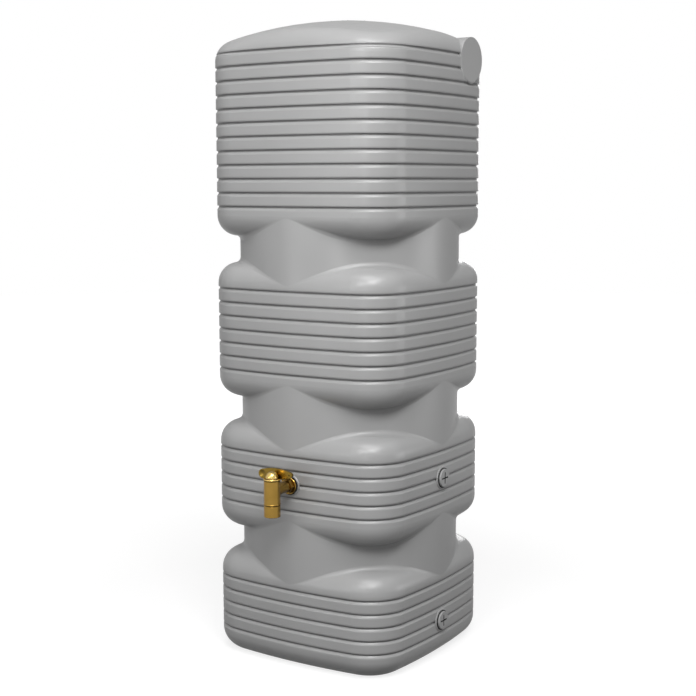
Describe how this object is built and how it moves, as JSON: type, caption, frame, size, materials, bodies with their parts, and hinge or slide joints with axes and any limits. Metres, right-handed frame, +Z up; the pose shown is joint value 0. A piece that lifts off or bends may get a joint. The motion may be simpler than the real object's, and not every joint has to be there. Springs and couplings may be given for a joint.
{
  "type": "rainwater tank",
  "caption": "Tall column-shaped rainwater tank with grooved rounded-square sections, round necks, a brass quarter-turn tap, blanking plugs and a recessed screw lid.",
  "frame": {"origin": "centre of the flat base, on the floor under the tank's upright axis", "axes": "+Z up along the tank's axis, -Y out of the front face with the tap, +X out of the right face with the two blanking plugs and the pipe boss"},
  "size_m": [0.6022, 0.696, 1.6935],
  "materials": {
    "grey_plastic": "satin moulded polyethylene",
    "lid_plastic": "satin moulded polyethylene",
    "plug_plastic": "satin moulded plastic",
    "black_rubber": "matt rubber",
    "insert_brass": "turned brass",
    "tap_brass": "polished brass",
    "handle_brass": "cast and polished brass",
    "screw_steel": "plated steel"
  },
  "bodies": {
    "tank": {"tank_shell": "grey_plastic", "tap_insert": "insert_brass", "upper_insert": "insert_brass", "lower_insert": "insert_brass", "upper_plug": "plug_plastic", "upper_plug_seal": "black_rubber", "lower_plug": "plug_plastic", "lower_plug_seal": "black_rubber", "tap_gasket": "black_rubber", "tap_body": "tap_brass", "nozzle": "tap_brass", "nozzle_washer": "black_rubber"},
    "valve": {"valve_plug": "tap_brass", "lower_valve_ring": "black_rubber", "upper_valve_ring": "black_rubber", "tap_handle": "handle_brass", "handle_cap": "tap_brass", "handle_screw": "screw_steel"},
    "lid": {"lid": "lid_plastic", "lid_gasket": "black_rubber"}
  },
  "joints": [
    {"name": "handle_turn", "type": "hinge", "parent": "tank", "child": "valve", "pos_m": [0.007, -0.3771, 0.4985], "axis": [0, 0, -1], "range_deg": [0, 90]},
    {"name": "lid_lift", "type": "slide", "parent": "tank", "child": "lid", "axis": [0, 0, 1], "range_m": [0, 0.25]}
  ]
}
